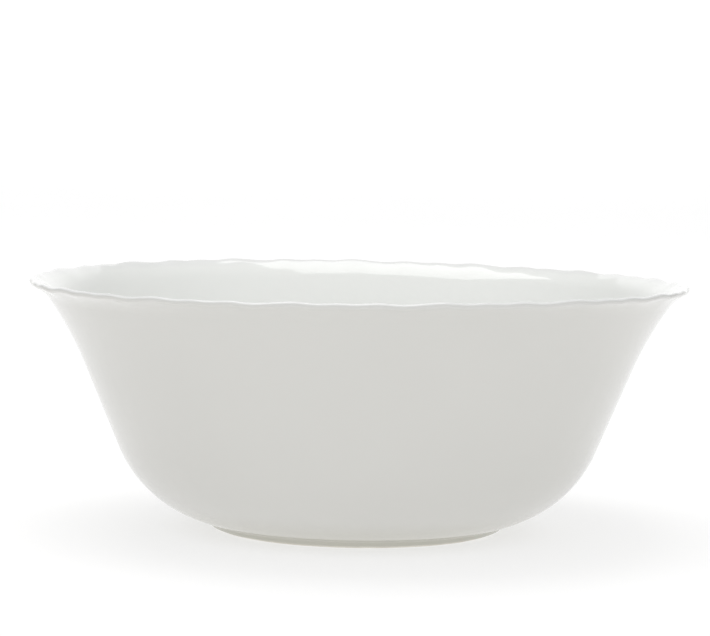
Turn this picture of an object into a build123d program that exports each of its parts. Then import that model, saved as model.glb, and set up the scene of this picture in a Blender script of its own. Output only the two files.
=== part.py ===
from build123d import *
from math import cos, pi, radians, sin
import os

# A round serving bowl in glazed white ware: a flared wall with a scalloped lip, on a low foot ring.
# Units are millimetres. The origin is the centre of the foot's bearing face and +Z is the bowl's axis.
# Angles round the axis are in degrees, from the front (-Y) towards +X.
# "Lean" is how far the outline tips out from the vertical: 0 runs straight up, 90 runs level outwards.

# Driving dimensions of the whole bowl
RIM_DIAMETER = 244.0
LIP_THICKNESS = 2.0
WALL_THICKNESS = 4.2
GLAZE = 0.4

# Foot ring: a rounded outer edge, a flat bearing face and a sloping inner side
FOOT_EDGE_RADIUS = 4.2
FOOT_BEARING_WIDTH = 2.8
FOOT_TOP_WIDTH = 8.2
FOOT_TOP_LEAN = 28.0

# Outer outline above the foot: each bend is a radius and the lean that it ends at
NOTCH_RADIUS = 2.0
BELLY_START_LEAN = 77.3
BELLY_RADIUS = 46.6
WALL_LEAN = 22.6
WALL_LENGTH = 33.8
FLARE_RADIUS = 123.3
FLARE_END_LEAN = 35.0
CURL_RADIUS = 17.0
LIP_LEAN = 64.0

# Inside floor: the bend between the belly and the flat middle
FLOOR_BEND_RADIUS = 70.0

# The outer glaze stops on the foot where the edge leans this much; the base glaze stops at this height
GLAZE_LINE_LEAN = 44.0
BASE_GLAZE_LINE = 1.0

# Scalloped lip: the same group of three uneven waves, repeated round the rim. They grow up the curl.
# Each harmonic of the group is (height, phase in degrees).
SCALLOP_GROUPS = 15
SCALLOP_HARMONICS = ((0.145, -129.0), (0.229, 40.4), (0.166, -176.6), (0.081, 159.3))
SCALLOP_LEAN = 30.0

# The rim is a little saddle-shaped, as fired ware is: two high sides, turned this far round from the front
SADDLE = 0.55
SADDLE_TURN = 35.0

# How finely each stretch of the outline is divided. The curl and lip are narrow bands between wavy rings.
ARC_STEPS = 2
BELLY_STEPS = 8
WALL_STEPS = 4
CURL_STEPS = 8
QUARTER_LIP_STEPS = 4
POINTS_ROUND = 300


def offset(station, depth):
    """The point that lies a given depth inside the outline at a station (r, z, lean)."""
    r, z, lean = station
    return (r - depth * cos(radians(lean)), z + depth * sin(radians(lean)))


def bend(start, radius, end_lean, steps):
    """Stations along an arc, from a start station to the lean that it ends at."""
    r, z, lean = start
    side = 1 if end_lean < lean else -1
    stations = [start]
    for step in range(1, steps + 1):
        turned = lean + (end_lean - lean) * step / steps
        rise = side * radius * (sin(radians(lean)) - sin(radians(turned)))
        reach = side * radius * (cos(radians(turned)) - cos(radians(lean)))
        stations.append((r + reach, z + rise, turned))
    return stations


def straight(start, length, steps):
    """Stations along a straight run from a start station."""
    r, z, lean = start
    reach = length * sin(radians(lean)) / steps
    rise = length * cos(radians(lean)) / steps
    return [(r + reach * step, z + rise * step, lean) for step in range(steps + 1)]


def smooth(fraction):
    """An even ramp from 0 to 1 with no corner at either end."""
    return fraction * fraction * (3 - 2 * fraction)


def outer_outline(foot_radius):
    """The stretches of the glazed outer face, from its bare edge on the foot up to the lip."""
    edge = FOOT_EDGE_RADIUS + GLAZE
    glaze_line = (
        foot_radius + edge * cos(radians(GLAZE_LINE_LEAN)),
        FOOT_EDGE_RADIUS - edge * sin(radians(GLAZE_LINE_LEAN)),
        GLAZE_LINE_LEAN,
    )
    foot = bend(glaze_line, edge, FOOT_TOP_LEAN, ARC_STEPS)
    notch = bend(foot[-1], NOTCH_RADIUS, BELLY_START_LEAN, ARC_STEPS)
    belly = bend(notch[-1], BELLY_RADIUS, WALL_LEAN, BELLY_STEPS)
    wall = straight(belly[-1], WALL_LENGTH, WALL_STEPS)
    flare = bend(wall[-1], FLARE_RADIUS, FLARE_END_LEAN, WALL_STEPS)
    curl = bend(flare[-1], CURL_RADIUS, LIP_LEAN, CURL_STEPS)
    return foot, notch, belly, wall, flare, curl


# The outline is drawn from the axis of the foot's rounded edge, then moved out to the rim's diameter
unplaced_curl = outer_outline(0)[-1]
lip_centre_reach = offset(unplaced_curl[-1], LIP_THICKNESS / 2)[0]
FOOT_RADIUS = RIM_DIAMETER / 2 - LIP_THICKNESS / 2 - lip_centre_reach
FOOT, NOTCH, BELLY, WALL, FLARE, CURL = outer_outline(FOOT_RADIUS)
LIP_CENTRE = offset(CURL[-1], LIP_THICKNESS / 2)
RIM_HEIGHT = LIP_CENTRE[1] + LIP_THICKNESS / 2
JOINT_RADIUS, JOINT_HEIGHT = offset(FOOT[-1], GLAZE)


def thickness(station):
    """Wall thickness with its glaze: full at the foot, thinning to the lip."""
    height = station[1] / CURL[-1][1]
    return WALL_THICKNESS + (LIP_THICKNESS - WALL_THICKNESS) * smooth(height)


def curl_share(station):
    """How much of the waves a station on the curl takes: none where the curl starts, all at the lip."""
    return smooth((station[2] - FLARE_END_LEAN) / (LIP_LEAN - FLARE_END_LEAN))


def outer_curl(depth):
    """Points (r, z, share of the waves) up the curl, this deep under the outside."""
    return [(*offset(station, depth), curl_share(station)) for station in CURL]


def inner_curl(depth):
    """Points (r, z, share of the waves) down the inside of the curl, this deep under the inside."""
    downwards = reversed(CURL)
    return [(*offset(station, thickness(station) - depth), curl_share(station)) for station in downwards]


def lip(depth, first, last):
    """Points (r, z, 1) round the lip, in degrees: 0 is its outer face, 90 its top and 180 its inner face."""
    radius = LIP_THICKNESS / 2 - depth
    steps = round(QUARTER_LIP_STEPS * (last - first) / 90)
    points = []
    for step in range(1, steps):
        turn = radians(first + (last - first) * step / steps - LIP_LEAN)
        points.append((LIP_CENTRE[0] + radius * cos(turn), LIP_CENTRE[1] + radius * sin(turn), 1))
    return points


def lip_top(depth):
    """The point (r, z, 1) where the two coats meet on the lip."""
    turn = radians(90 - LIP_LEAN)
    radius = LIP_THICKNESS / 2 - depth
    return (LIP_CENTRE[0] + radius * cos(turn), LIP_CENTRE[1] + radius * sin(turn), 1)


def scallop(angle):
    """Height of the lip's waves at an angle round the axis."""
    return sum(
        height * cos(order * SCALLOP_GROUPS * angle - radians(phase))
        for order, (height, phase) in enumerate(SCALLOP_HARMONICS, start=1)
    )


def place(point, angle):
    """A point (r, z, share of the waves), turned to its angle and moved by the scallops and the saddle."""
    r, z, share = point
    wave = share * scallop(angle)
    saddle = share * SADDLE * cos(2 * (angle - radians(SADDLE_TURN)))
    r += wave * sin(radians(SCALLOP_LEAN))
    z += wave * cos(radians(SCALLOP_LEAN)) + saddle
    return Vector(r * sin(angle), -r * cos(angle), z)


def ring(point):
    """A closed edge through a point (r, z, share of the waves), starting at the back of the bowl."""
    r, z, share = point
    if share == 0:
        return Edge.make_circle(r, Plane(origin=(0, 0, z), x_dir=(0, 1, 0)))
    angles = [pi + 2 * pi * row / POINTS_ROUND for row in range(POINTS_ROUND)]
    return Edge.make_spline([place(point, angle) for angle in angles], periodic=True)


def bands(points):
    """Narrow faces round the bowl, each between the rings through two points in turn."""
    edges = [ring(point) for point in points]
    return [Face.make_surface_from_curves(first, second) for first, second in zip(edges, edges[1:])]


def at_back(point):
    """A point (r, z) of the outline, drawn at the back of the bowl."""
    return Vector(0, *point)


def line_face(start, end):
    """The face that a straight line between two points (r, z) makes when it is turned round the axis."""
    return Face.revolve(Edge.make_line(at_back(start), at_back(end)), 360, Axis.Z)


def arc_face(start, middle, end):
    """The face that an arc through three points (r, z) makes when it is turned round the axis."""
    arc = Edge.make_three_point_arc(at_back(start), at_back(middle), at_back(end))
    return Face.revolve(arc, 360, Axis.Z)


def outer_faces(depth, bends):
    """The outside below the curl, this deep under its surface: the bends given, the wall and the flare."""
    faces = []
    for stretch in (*bends, FLARE):
        ends_and_middle = (stretch[0], stretch[len(stretch) // 2], stretch[-1])
        faces.append(arc_face(*[offset(station, depth) for station in ends_and_middle]))
    return faces + [line_face(offset(WALL[0], depth), offset(WALL[-1], depth))]


def inner_faces(depth):
    """The inside below the curl, this deep under its surface: the wall, the floor's bend and the floor."""
    stations = BELLY + WALL[1:] + FLARE[1:]
    wall_points = [offset(station, thickness(station) - depth) for station in stations]
    wall = Face.revolve(Edge.make_spline([at_back(point) for point in wall_points]), 360, Axis.Z)
    bend_centre = offset(BELLY[0], thickness(BELLY[0]) + FLOOR_BEND_RADIUS)
    reach = FLOOR_BEND_RADIUS + depth
    floor_bend = []
    for lean in (BELLY_START_LEAN, (BELLY_START_LEAN + 90) / 2, 90):
        point = (bend_centre[0] + reach * cos(radians(lean)), bend_centre[1] - reach * sin(radians(lean)))
        floor_bend.append(point)
    return [wall, arc_face(*floor_bend), line_face(floor_bend[-1], (0, floor_bend[-1][1]))]


def make_porcelain_body():
    """The fired body: outside and inside under their glaze, the lip, and the flat underside."""
    over_lip = outer_curl(GLAZE) + lip(GLAZE, 0, 180) + inner_curl(GLAZE)
    underside = line_face((0, JOINT_HEIGHT), (JOINT_RADIUS, JOINT_HEIGHT))
    faces = outer_faces(GLAZE, (NOTCH, BELLY)) + bands(over_lip) + inner_faces(GLAZE)
    return Solid(Shell(faces + [underside]))


def make_outer_glaze():
    """The outside coat, from the bare edge of the foot to the top of the lip."""
    faces = [line_face(offset(FOOT[0], 0), offset(FOOT[0], GLAZE))]
    for depth in (0, GLAZE):
        faces += outer_faces(depth, (FOOT, NOTCH, BELLY))
        faces += bands(outer_curl(depth) + lip(depth, 0, 90) + [lip_top(depth)])
    return Solid(Shell(faces + bands([lip_top(0), lip_top(GLAZE)])))


def make_inner_glaze():
    """The inside coat, from the top of the lip down over the whole floor."""
    faces = bands([lip_top(0), lip_top(GLAZE)])
    for depth in (0, GLAZE):
        faces += bands([lip_top(depth)] + lip(depth, 90, 180) + inner_curl(depth))
        faces += inner_faces(depth)
    return Solid(Shell(faces))


def make_foot_ring():
    """The bare ring that the bowl stands on, turned to its section and stuck under the body."""
    bearing_inner = FOOT_RADIUS - FOOT_BEARING_WIDTH
    inner_top = JOINT_RADIUS - FOOT_TOP_WIDTH
    with BuildPart() as ring:
        with BuildSketch(Plane.XZ):
            with BuildLine():
                Line((bearing_inner, 0), (FOOT_RADIUS, 0))
                CenterArc((FOOT_RADIUS, FOOT_EDGE_RADIUS), FOOT_EDGE_RADIUS, -90, 90 - FOOT_TOP_LEAN)
                Line((JOINT_RADIUS, JOINT_HEIGHT), (inner_top, JOINT_HEIGHT))
                Line((inner_top, JOINT_HEIGHT), (bearing_inner, 0))
            make_face()
        revolve(axis=Axis.Z)
    return ring.part.solid()


def make_base_glaze():
    """The patch of glaze inside the foot ring, turned down its sloping side to the bare rim."""
    bearing_inner = FOOT_RADIUS - FOOT_BEARING_WIDTH
    inner_top = JOINT_RADIUS - FOOT_TOP_WIDTH
    slope = (bearing_inner - inner_top) / JOINT_HEIGHT
    side_end = bearing_inner - slope * BASE_GLAZE_LINE
    face_height = JOINT_HEIGHT - GLAZE
    face_corner = bearing_inner - slope * face_height - GLAZE
    with BuildPart() as patch:
        with BuildSketch(Plane.XZ):
            with BuildLine():
                Polyline(
                    (0, face_height),
                    (0, JOINT_HEIGHT),
                    (inner_top, JOINT_HEIGHT),
                    (side_end, BASE_GLAZE_LINE),
                    (side_end - GLAZE, BASE_GLAZE_LINE),
                    (face_corner, face_height),
                    close=True,
                )
            make_face()
        revolve(axis=Axis.Z)
    return patch.part.solid()


def main():
    """Build every piece and write one STEP file for each."""
    pieces = {
        "porcelain_body": make_porcelain_body(),
        "foot_ring": make_foot_ring(),
        "outer_glaze": make_outer_glaze(),
        "inner_glaze": make_inner_glaze(),
        "base_glaze": make_base_glaze(),
    }
    os.makedirs("parts", exist_ok=True)
    for name, piece in pieces.items():
        export_step(piece, f"parts/{name}.step")
        size = piece.bounding_box().size
        print(f"{name}: {piece.volume / 1000:.2f} cm3, {size.X:.2f} x {size.Y:.2f} x {size.Z:.2f} mm")
    print(f"foot radius {FOOT_RADIUS:.2f}, joint {JOINT_RADIUS:.2f} at {JOINT_HEIGHT:.2f}")
    print(f"plain rim height {RIM_HEIGHT:.2f}")


main()
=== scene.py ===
from math import cos, pi, radians, sin

import bpy
from mathutils import Matrix, Vector


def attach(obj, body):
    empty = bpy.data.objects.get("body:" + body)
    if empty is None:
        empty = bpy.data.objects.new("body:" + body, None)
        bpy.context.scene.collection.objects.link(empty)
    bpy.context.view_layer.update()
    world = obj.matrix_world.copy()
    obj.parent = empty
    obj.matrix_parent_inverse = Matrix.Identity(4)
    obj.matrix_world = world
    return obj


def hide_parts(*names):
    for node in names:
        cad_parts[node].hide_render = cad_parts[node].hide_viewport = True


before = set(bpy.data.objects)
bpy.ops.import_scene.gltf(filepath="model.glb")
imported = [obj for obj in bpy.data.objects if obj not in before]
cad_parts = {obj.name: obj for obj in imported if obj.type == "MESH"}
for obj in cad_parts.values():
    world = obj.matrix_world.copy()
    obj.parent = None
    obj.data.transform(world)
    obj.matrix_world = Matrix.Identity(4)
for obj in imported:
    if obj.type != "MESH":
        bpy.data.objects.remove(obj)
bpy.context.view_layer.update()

# A white glazed serving bowl with a scalloped lip, on a plain pale floor. Lengths are in metres unless a
# name says otherwise, and named angles are in degrees. Angles round the bowl start at the front (-Y) and
# run towards +X. "Lean" is how far the outline tips out from the vertical: 0 runs straight up, 90 runs
# level outwards.

# ---------------------------------------------------------------- the bowl's outline, as in the CAD model
RIM_DIAMETER = 0.244
LIP_THICKNESS = 0.002
WALL_THICKNESS = 0.0042
GLAZE = 0.0004

# Foot ring: a rounded outer edge, a flat bearing face and a sloping inner side
FOOT_EDGE_RADIUS = 0.0042
FOOT_BEARING_WIDTH = 0.0028
FOOT_TOP_WIDTH = 0.0082
FOOT_TOP_LEAN = 28.0
FOOT_EASE = 0.0003

# Outer outline above the foot: each bend is a radius and the lean that it ends at
NOTCH_RADIUS = 0.002
BELLY_START_LEAN = 77.3
BELLY_RADIUS = 0.0466
WALL_LEAN = 22.6
WALL_LENGTH = 0.0338
FLARE_RADIUS = 0.1233
FLARE_END_LEAN = 35.0
CURL_RADIUS = 0.017
LIP_LEAN = 64.0

# Inside floor: the bend between the belly and the flat middle
FLOOR_BEND_RADIUS = 0.070

# The outer glaze stops on the foot where the edge leans this much; the base glaze stops at this height
GLAZE_LINE_LEAN = 44.0
BASE_GLAZE_LINE = 0.001

# Scalloped lip: the same group of three uneven waves, repeated round the rim. They grow up the curl.
# Each harmonic of the group is (height, phase in degrees).
SCALLOP_GROUPS = 15
SCALLOP_HARMONICS = ((0.000145, -129.0), (0.000229, 40.4), (0.000166, -176.6), (0.000081, 159.3))
SCALLOP_LEAN = 30.0

# The rim is a little saddle-shaped: two high sides, turned this far round from the front
SADDLE = 0.00055
SADDLE_TURN = 35.0

# Mesh density: segments round the bowl, and steps along each stretch of the outline
SEGMENTS = 600
GLAZED_FOOT_STEPS = 8
BARE_FOOT_STEPS = 14
NOTCH_STEPS = 8
BELLY_STEPS = 28
WALL_STEPS = 12
FLARE_STEPS = 12
CURL_STEPS = 18
QUARTER_LIP_STEPS = 8
FLOOR_BEND_STEPS = 12

# A coat's side against the body is out of sight, so it is coarser: every third station, fewer lip steps
HIDDEN_EVERY = 3
HIDDEN_LIP_STEPS = 3

# Rings across a level disc, as shares of its radius
DISC_SHARES = (0.75, 0.5, 0.25, 0.06)


def offset(station, depth):
    """The point that lies a given depth inside the outline at a station (r, z, lean)."""
    r, z, lean = station
    return (r - depth * cos(radians(lean)), z + depth * sin(radians(lean)))


def bend(start, radius, end_lean, steps):
    """Stations along an arc, from a start station to the lean that it ends at."""
    r, z, lean = start
    side = 1 if end_lean < lean else -1
    stations = [start]
    for step in range(1, steps + 1):
        turned = lean + (end_lean - lean) * step / steps
        rise = side * radius * (sin(radians(lean)) - sin(radians(turned)))
        reach = side * radius * (cos(radians(turned)) - cos(radians(lean)))
        stations.append((r + reach, z + rise, turned))
    return stations


def straight(start, length, steps):
    """Stations along a straight run from a start station."""
    r, z, lean = start
    reach = length * sin(radians(lean)) / steps
    rise = length * cos(radians(lean)) / steps
    return [(r + reach * step, z + rise * step, lean) for step in range(steps + 1)]


def smooth(fraction):
    """An even ramp from 0 to 1 with no corner at either end."""
    return fraction * fraction * (3 - 2 * fraction)


def outer_outline(foot_radius):
    """The stretches of the glazed outer face, from its bare edge on the foot up to the lip."""
    edge = FOOT_EDGE_RADIUS + GLAZE
    glaze_line = (
        foot_radius + edge * cos(radians(GLAZE_LINE_LEAN)),
        FOOT_EDGE_RADIUS - edge * sin(radians(GLAZE_LINE_LEAN)),
        GLAZE_LINE_LEAN,
    )
    foot = bend(glaze_line, edge, FOOT_TOP_LEAN, GLAZED_FOOT_STEPS)
    notch = bend(foot[-1], NOTCH_RADIUS, BELLY_START_LEAN, NOTCH_STEPS)
    belly = bend(notch[-1], BELLY_RADIUS, WALL_LEAN, BELLY_STEPS)
    wall = straight(belly[-1], WALL_LENGTH, WALL_STEPS)
    flare = bend(wall[-1], FLARE_RADIUS, FLARE_END_LEAN, FLARE_STEPS)
    curl = bend(flare[-1], CURL_RADIUS, LIP_LEAN, CURL_STEPS)
    return foot, notch, belly, wall, flare, curl


# The outline is drawn from the axis of the foot's rounded edge, then moved out to the rim's diameter
unplaced_curl = outer_outline(0)[-1]
lip_centre_reach = offset(unplaced_curl[-1], LIP_THICKNESS / 2)[0]
FOOT_RADIUS = RIM_DIAMETER / 2 - LIP_THICKNESS / 2 - lip_centre_reach
FOOT, NOTCH, BELLY, WALL, FLARE, CURL = outer_outline(FOOT_RADIUS)
LIP_CENTRE = offset(CURL[-1], LIP_THICKNESS / 2)
JOINT_RADIUS, JOINT_HEIGHT = offset(FOOT[-1], GLAZE)
BEARING_INNER = FOOT_RADIUS - FOOT_BEARING_WIDTH
FOOT_INNER_TOP = JOINT_RADIUS - FOOT_TOP_WIDTH
FOOT_INNER_SLOPE = (BEARING_INNER - FOOT_INNER_TOP) / JOINT_HEIGHT


def thickness(station):
    """Wall thickness with its glaze: full at the foot, growing thinner to the lip."""
    height = station[1] / CURL[-1][1]
    return WALL_THICKNESS + (LIP_THICKNESS - WALL_THICKNESS) * smooth(height)


def curl_share(station):
    """How much of the waves a station on the curl takes: none where the curl starts, all at the lip."""
    return smooth((station[2] - FLARE_END_LEAN) / (LIP_LEAN - FLARE_END_LEAN))


def outer_curve(depth, every=1):
    """Points (r, z, share of the waves) from the foot up to the lip, this deep under the outside."""
    low = (FOOT + NOTCH[1:] + BELLY[1:] + WALL[1:] + FLARE[1:])[:-1:every]
    points = [(*offset(station, depth), 0) for station in low]
    return points + [(*offset(station, depth), curl_share(station)) for station in CURL[::every]]


def lip(depth, first, last, steps=QUARTER_LIP_STEPS):
    """Points (r, z, 1) round the lip, in degrees: 0 is its outer face, 90 its top and 180 its inner face."""
    radius = LIP_THICKNESS / 2 - depth
    points = []
    for step in range(steps + 1):
        turn = radians(first + (last - first) * step / steps - LIP_LEAN)
        points.append((LIP_CENTRE[0] + radius * cos(turn), LIP_CENTRE[1] + radius * sin(turn), 1))
    return points


def inner_curve(depth, every=1):
    """Points (r, z, share of the waves) from the lip down to the flat floor, this deep under the inside."""
    points = [
        (*offset(station, thickness(station) - depth), curl_share(station)) for station in CURL[::-every]
    ]
    low = (BELLY + WALL[1:] + FLARE[1:-1])[::-every]
    points += [(*offset(station, thickness(station) - depth), 0) for station in low]
    bend_centre = offset(BELLY[0], thickness(BELLY[0]) + FLOOR_BEND_RADIUS)
    reach = FLOOR_BEND_RADIUS + depth
    for step in range(FLOOR_BEND_STEPS + 1):
        lean = radians(BELLY_START_LEAN + (90 - BELLY_START_LEAN) * step / FLOOR_BEND_STEPS)
        points.append((bend_centre[0] + reach * cos(lean), bend_centre[1] - reach * sin(lean), 0))
    return points


def scallop(angle):
    """Height of the lip's waves at an angle round the axis."""
    return sum(
        height * cos(order * SCALLOP_GROUPS * angle - radians(phase))
        for order, (height, phase) in enumerate(SCALLOP_HARMONICS, start=1)
    )


def place(point, angle):
    """A point (r, z, share of the waves), turned to its angle and moved by the scallops and the saddle."""
    r, z, share = point
    wave = share * scallop(angle)
    saddle = share * SADDLE * cos(2 * (angle - radians(SADDLE_TURN)))
    r += wave * sin(radians(SCALLOP_LEAN))
    z += wave * cos(radians(SCALLOP_LEAN)) + saddle
    return Vector((r * sin(angle), -r * cos(angle), z))


# ---------------------------------------------------------------- meshes
def turned_piece(name, section, sharp_degrees=40):
    """A closed solid: a section of points (r, z, share of the waves) carried round the axis.

    The section runs anticlockwise seen with r to the right and z up, and closes on itself unless it
    starts and ends on the axis, where each point is a single vertex."""
    points = []
    rings = []
    for point in section:
        if point[0] == 0:
            rings.append([len(points)])
            points.append(Vector((0, 0, point[1])))
            continue
        rings.append([len(points) + k for k in range(SEGMENTS)])
        points += [place(point, 2 * pi * k / SEGMENTS) for k in range(SEGMENTS)]
    pairs = list(zip(rings, rings[1:]))
    if section[0][0] != 0:
        pairs.append((rings[-1], rings[0]))
    faces = []
    for low, high in pairs:
        for k in range(SEGMENTS):
            after = (k + 1) % SEGMENTS
            if len(low) == 1:
                faces.append((low[0], high[after], high[k]))
            elif len(high) == 1:
                faces.append((low[k], low[after], high[0]))
            else:
                faces.append((low[k], low[after], high[after], high[k]))
    mesh = bpy.data.meshes.new(name)
    mesh.from_pydata(points, [], faces)
    mesh.shade_smooth()
    mesh.set_sharp_from_angle(angle=radians(sharp_degrees))
    piece = bpy.data.objects.new(name, mesh)
    bpy.context.scene.collection.objects.link(piece)
    return piece


def flat_rings(radius, height):
    """Points of a level disc, from near its edge in to the axis."""
    return [(radius * share, height, 0) for share in DISC_SHARES] + [(0, height, 0)]


def make_outer_coat():
    """The outside glaze, from where it was wiped off the foot up to the top of the lip."""
    shown = outer_curve(0) + lip(0, 0, 90)[1:]
    hidden = outer_curve(GLAZE, every=HIDDEN_EVERY) + lip(GLAZE, 0, 90, steps=HIDDEN_LIP_STEPS)[1:]
    return turned_piece("outer_coat", shown + hidden[::-1])


def make_inner_coat():
    """The inside glaze, from the top of the lip down over the floor."""
    shown = lip(0, 90, 180)[:-1] + inner_curve(0)
    hidden = lip(GLAZE, 90, 180, steps=HIDDEN_LIP_STEPS)[:-1] + inner_curve(GLAZE, every=HIDDEN_EVERY)
    shown += flat_rings(*shown[-1][:2])
    hidden += flat_rings(*hidden[-1][:2])
    return turned_piece("inner_coat", hidden[::-1] + shown)


def make_bare_foot():
    """The foot ring: ground bearing face with an eased inner corner, rounded outside, sloping inside."""
    section = [(BEARING_INNER + FOOT_EASE, 0, 0), (FOOT_RADIUS, 0, 0)]
    for step in range(1, BARE_FOOT_STEPS + 1):
        lean = radians(90 - (90 - FOOT_TOP_LEAN) * step / BARE_FOOT_STEPS)
        r = FOOT_RADIUS + FOOT_EDGE_RADIUS * cos(lean)
        section.append((r, FOOT_EDGE_RADIUS * (1 - sin(lean)), 0))
    section.append((FOOT_INNER_TOP, JOINT_HEIGHT, 0))
    section.append((BEARING_INNER - FOOT_INNER_SLOPE * FOOT_EASE, FOOT_EASE, 0))
    return turned_piece("bare_foot", section, sharp_degrees=50)


def make_base_coat():
    """The patch of glaze inside the foot ring, turned down its sloping side to the bare rim."""
    side_end = BEARING_INNER - FOOT_INNER_SLOPE * BASE_GLAZE_LINE
    face_height = JOINT_HEIGHT - GLAZE
    face_corner = BEARING_INNER - FOOT_INNER_SLOPE * face_height - GLAZE
    section = flat_rings(face_corner, face_height)[::-1] + [(face_corner, face_height, 0)]
    section += [(side_end - GLAZE, BASE_GLAZE_LINE, 0), (side_end, BASE_GLAZE_LINE, 0)]
    section += [(FOOT_INNER_TOP, JOINT_HEIGHT, 0)] + flat_rings(FOOT_INNER_TOP, JOINT_HEIGHT)
    return turned_piece("base_coat", section)


# ---------------------------------------------------------------- materials
def new_material(name):
    """A node material: its nodes, links and Principled shader."""
    material = bpy.data.materials.new(name)
    material.use_nodes = True
    nodes = material.node_tree.nodes
    return material, nodes, material.node_tree.links, nodes["Principled BSDF"]


def noise_node(nodes, links, scale, detail=2.0, roughness=0.5):
    """Noise in the object's own coordinates. Scale is features per metre."""
    coordinates = nodes.new("ShaderNodeTexCoord")
    texture = nodes.new("ShaderNodeTexNoise")
    texture.inputs["Scale"].default_value = scale
    texture.inputs["Detail"].default_value = detail
    texture.inputs["Roughness"].default_value = roughness
    links.new(coordinates.outputs["Object"], texture.inputs["Vector"])
    return texture.outputs["Fac"]


def height_fade(nodes, links, low, high):
    """0 below one height of the object and 1 above another, in metres."""
    coordinates = nodes.new("ShaderNodeTexCoord")
    split = nodes.new("ShaderNodeSeparateXYZ")
    fade = nodes.new("ShaderNodeMapRange")
    fade.interpolation_type = "SMOOTHSTEP"
    fade.inputs["From Min"].default_value = low
    fade.inputs["From Max"].default_value = high
    links.new(coordinates.outputs["Object"], split.inputs["Vector"])
    links.new(split.outputs["Z"], fade.inputs["Value"])
    return fade.outputs["Result"]


def blend(nodes, links, factor, first, second):
    """A colour between two others. Each may be a colour or another node's output."""
    mix = nodes.new("ShaderNodeMix")
    mix.data_type = "RGBA"
    links.new(factor, mix.inputs["Factor"])
    for socket, value in ((mix.inputs["A"], first), (mix.inputs["B"], second)):
        if isinstance(value, tuple):
            socket.default_value = (*value, 1)
        else:
            links.new(value, socket)
    return mix.outputs["Result"]


def map_range(nodes, links, value, low, high, start=0.3, end=0.7):
    """Carries a value onto a range: start gives low and end gives high. Noise runs mostly from 0.3 to 0.7."""
    stretch = nodes.new("ShaderNodeMapRange")
    stretch.inputs["From Min"].default_value = start
    stretch.inputs["From Max"].default_value = end
    stretch.inputs["To Min"].default_value = low
    stretch.inputs["To Max"].default_value = high
    links.new(value, stretch.inputs["Value"])
    return stretch.outputs["Result"]


def bump(nodes, links, height, distance, normal=None):
    """A bump of a real height in metres, on top of another one if given."""
    node = nodes.new("ShaderNodeBump")
    node.inputs["Distance"].default_value = distance
    links.new(height, node.inputs["Height"])
    if normal is not None:
        links.new(normal, node.inputs["Normal"])
    return node.outputs["Normal"]


# Heights between which the top of the lip is painted its own tint: painted shade where it faces up into the
# light
LIP_SHADE_START = 0.0902
LIP_SHADE_FULL = 0.0922
GLAZE_IOR = 1.5


def glaze_material(name, tint, cloud_tint, low_shade_tint, low_shade_top, lip_shade_tint=None):
    """Glossy white glaze, clouded, rippled and unevenly polished.

    It is painted darker low down: painted shade. A coat that reaches the lip can be painted another tint
    there:
    painted shade on the top of the lip, which faces up into the light."""
    material, nodes, links, shader = new_material(name)
    clouds = map_range(nodes, links, noise_node(nodes, links, scale=22, detail=3), low=0, high=1)
    colour = blend(nodes, links, clouds, tint, cloud_tint)
    # Painted shade: the glaze is painted a darker tint low down.
    above_low_shade = height_fade(nodes, links, 0, low_shade_top)
    colour = blend(nodes, links, above_low_shade, low_shade_tint, colour)
    if lip_shade_tint is not None:
        # Painted shade: the top of the lip is painted its own tint.
        lip_shading = height_fade(nodes, links, LIP_SHADE_START, LIP_SHADE_FULL)
        colour = blend(nodes, links, lip_shading, colour, lip_shade_tint)
    links.new(colour, shader.inputs["Base Color"])
    polish = map_range(nodes, links, noise_node(nodes, links, scale=60, detail=4), low=0.05, high=0.09)
    links.new(polish, shader.inputs["Roughness"])
    shader.inputs["IOR"].default_value = GLAZE_IOR
    ripple = bump(nodes, links, noise_node(nodes, links, scale=60, detail=1), distance=0.00012)
    peel = bump(nodes, links, noise_node(nodes, links, scale=420, detail=1), distance=0.000012, normal=ripple)
    links.new(peel, shader.inputs["Normal"])
    return material


def bare_material(name, clay, stain):
    """Bare fired clay: dry and fine-grained, greyed in patches where it has rubbed on tables."""
    material, nodes, links, shader = new_material(name)
    patch_noise = noise_node(nodes, links, scale=90, detail=5, roughness=0.6)
    patches = map_range(nodes, links, patch_noise, low=0, high=1, start=0.4, end=0.65)
    links.new(blend(nodes, links, patches, clay, stain), shader.inputs["Base Color"])
    rough = map_range(nodes, links, noise_node(nodes, links, scale=300, detail=3), low=0.62, high=0.85)
    links.new(rough, shader.inputs["Roughness"])
    grain_noise = noise_node(nodes, links, scale=2600, detail=4, roughness=0.7)
    grain = bump(nodes, links, grain_noise, distance=0.00006)
    links.new(grain, shader.inputs["Normal"])
    return material


def set_material(piece, material):
    """Gives every face of a piece one material."""
    piece.data.materials.clear()
    piece.data.materials.append(material)


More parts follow.
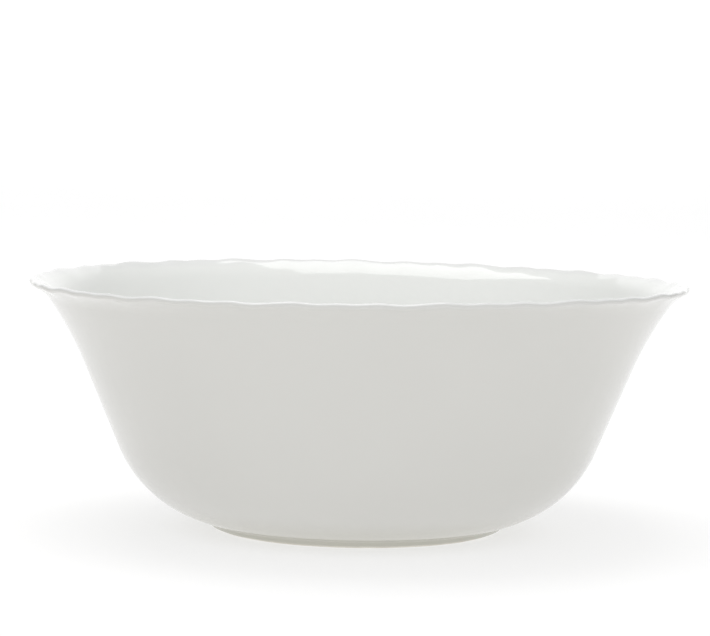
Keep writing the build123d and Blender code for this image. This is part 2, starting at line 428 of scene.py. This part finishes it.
# ---------------------------------------------------------------- the object
def build_bowl():
    """Every visible piece, on its body, with its material; the CAD node that it stands for is hidden."""
    # One glaze in two tints: the outside is painted darker and the inside lighter, painted shade outside and
    # painted light inside.
    outer_white_shaded = glaze_material(
        "outer_glaze_look",
        tint=(0.695, 0.69, 0.66),
        cloud_tint=(0.685, 0.68, 0.65),
        # painted shade: darker near the foot, where the wall comes down to the floor
        low_shade_tint=(0.59, 0.58, 0.515),
        low_shade_top=0.014,
        # painted shade on the top of the lip
        lip_shade_tint=(0.69, 0.69, 0.67),
    )
    inner_white_lit = glaze_material(
        "inner_glaze_look",
        tint=(0.785, 0.795, 0.775),
        cloud_tint=(0.775, 0.785, 0.765),
        # painted shade: darker over the bowl's floor, which the overhead light reaches most
        low_shade_tint=(0.69, 0.70, 0.67),
        low_shade_top=0.026,
        # painted shade on the top of the lip
        lip_shade_tint=(0.75, 0.755, 0.745),
    )
    base_white = glaze_material(
        "base_glaze_look",
        tint=(0.72, 0.715, 0.69),
        cloud_tint=(0.70, 0.695, 0.67),
        # painted shade: darker low inside the foot ring, under the bowl
        low_shade_tint=(0.68, 0.67, 0.62),
        low_shade_top=0.002,
    )
    bare_clay = bare_material("bare_foot_look", (0.79, 0.77, 0.70), (0.67, 0.64, 0.565))
    fired_clay = bare_material("fired_body_look", (0.82, 0.81, 0.78), (0.79, 0.78, 0.74))

    made = (
        (make_outer_coat(), "outer_glaze", "outer_glaze", outer_white_shaded),
        (make_inner_coat(), "inner_glaze", "inner_glaze", inner_white_lit),
        (make_base_coat(), "base_glaze", "base_glaze", base_white),
        (make_bare_foot(), "foot_ring", "bare_foot", bare_clay),
    )
    for piece, node, slot, material in made:
        set_material(piece, material)
        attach(piece, "root")
        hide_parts(node)
    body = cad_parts["porcelain_body"]
    for body_slot in body.material_slots:
        body_slot.material = fired_clay


# ---------------------------------------------------------------- the studio
CAMERA_DISTANCE = 1.080
CAMERA_HEIGHT = 0.1640
CAMERA_LENS_MM = 147.3
CAMERA_AIM = (-0.0015, 0.0, 0.0784)
CAMERA_ROLL = 0.874
SENSOR_WIDTH_MM = 36

# The studio's sheets are one matt grey. They glow evenly up to one distance aside, then fade to another.
STUDIO_GREY = (0.38, 0.38, 0.38)
STUDIO_ROUGHNESS = 0.8
STUDIO_HALF_WIDTH = 7.0
MOTTLE_SHADE = 0.985
GLOW_FADE_START = 1.2
GLOW_FADE_END = 6.0


def make_camera():
    """A long lens looking slightly down at the bowl, and rolled a little."""
    data = bpy.data.cameras.new("view_camera")
    data.lens = CAMERA_LENS_MM
    data.sensor_width = SENSOR_WIDTH_MM
    data.clip_end = 50
    camera = bpy.data.objects.new("view_camera", data)
    bpy.context.scene.collection.objects.link(camera)
    eye = Vector((0, -CAMERA_DISTANCE, CAMERA_HEIGHT))
    look = (Vector(CAMERA_AIM) - eye).to_track_quat("-Z", "Y").to_matrix().to_4x4()
    camera.matrix_world = Matrix.Translation(eye) @ look @ Matrix.Rotation(radians(CAMERA_ROLL), 4, "Z")
    bpy.context.scene.camera = camera


def plain_material(name, colour, roughness, glow, side_glow):
    """A matt, slightly uneven studio surface that glows: glow in the middle, side_glow far aside."""
    material, nodes, links, shader = new_material(name)
    shade = tuple(channel * MOTTLE_SHADE for channel in colour)
    mottle = map_range(nodes, links, noise_node(nodes, links, scale=3, detail=2), low=0, high=1)
    links.new(blend(nodes, links, mottle, colour, shade), shader.inputs["Base Color"])
    shader.inputs["Roughness"].default_value = roughness
    shader.inputs["Specular IOR Level"].default_value = 0.2
    shader.inputs["Emission Color"].default_value = (1, 1, 1, 1)
    coordinates = nodes.new("ShaderNodeTexCoord")
    split = nodes.new("ShaderNodeSeparateXYZ")
    links.new(coordinates.outputs["Object"], split.inputs["Vector"])
    aside = nodes.new("ShaderNodeMath")
    aside.operation = "ABSOLUTE"
    links.new(split.outputs["X"], aside.inputs[0])
    aside_by = aside.outputs["Value"]
    strength = map_range(nodes, links, aside_by, glow, side_glow, GLOW_FADE_START, GLOW_FADE_END)
    strength.node.interpolation_type = "SMOOTHSTEP"
    links.new(strength, shader.inputs["Emission Strength"])
    return material


def stage_sheet(name, line, glow, side_glow):
    """A wide pale sheet of the studio, from a line of points (y, z)."""
    points = [(side * STUDIO_HALF_WIDTH, y, z) for y, z in line for side in (-1, 1)]
    faces = [(2 * k, 2 * k + 1, 2 * k + 3, 2 * k + 2) for k in range(len(line) - 1)]
    mesh = bpy.data.meshes.new(name)
    mesh.from_pydata(points, [], faces)
    mesh.shade_smooth()
    sheet = bpy.data.objects.new(name, mesh)
    bpy.context.scene.collection.objects.link(sheet)
    surface = plain_material(name + "_surface", STUDIO_GREY, STUDIO_ROUGHNESS, glow, side_glow)
    set_material(sheet, surface)


def make_floor():
    """A pale floor, and a backdrop that curves up from it a long way behind."""
    front = -7.0
    back = 5.0
    sweep = 1.5
    top = 5.0
    stage_sheet("floor", [(front, 0.0), (back, 0.0)], glow=0.61, side_glow=0.45)
    turns = [radians(turn) for turn in range(0, 91, 5)]
    curve = [(back + sweep * sin(turn), sweep - sweep * cos(turn)) for turn in turns]
    stage_sheet("backdrop", curve + [(back + sweep, top)], glow=0.82, side_glow=0.15)


def softbox(name, centre, aim, width, height, radiance):
    """A rectangular area light that faces its aim, as bright as asked all over its face."""
    data = bpy.data.lights.new(name, "AREA")
    data.shape = "RECTANGLE"
    data.size = width
    data.size_y = height
    data.energy = radiance * pi * width * height
    light = bpy.data.objects.new(name, data)
    bpy.context.scene.collection.objects.link(light)
    light.location = centre
    light.rotation_euler = (Vector(aim) - Vector(centre)).to_track_quat("-Z", "Y").to_euler()


def make_walls(plain, extra, direction):
    """Pale studio walls as a world: one brightness all round, and more where they face a direction."""
    world = bpy.data.worlds.new("studio")
    world.use_nodes = True
    nodes, links = world.node_tree.nodes, world.node_tree.links
    coordinates = nodes.new("ShaderNodeTexCoord")
    facing = nodes.new("ShaderNodeVectorMath")
    facing.operation = "DOT_PRODUCT"
    facing.inputs[1].default_value = Vector(direction).normalized()
    links.new(coordinates.outputs["Generated"], facing.inputs[0])
    strength = map_range(nodes, links, facing.outputs["Value"], plain, plain + extra, start=0.2, end=1.0)
    strength.node.interpolation_type = "SMOOTHSTEP"
    nodes["Background"].inputs["Color"].default_value = (1, 1, 1, 1)
    links.new(strength, nodes["Background"].inputs["Strength"])
    bpy.context.scene.world = world


def make_lights():
    """A softbox overhead, and pale walls that are brightest high up in front."""
    softbox(
        "top_softbox",
        centre=(-0.25, 0.32, 1.85),
        aim=(-0.25, 0.10, 0.09),
        width=1.4,
        height=1.3,
        radiance=2.4,
    )
    make_walls(plain=0.43, extra=0.64, direction=(0, -0.5, 0.87))


build_bowl()
make_camera()
make_floor()
make_lights()
bpy.context.scene.view_settings.view_transform = "Standard"
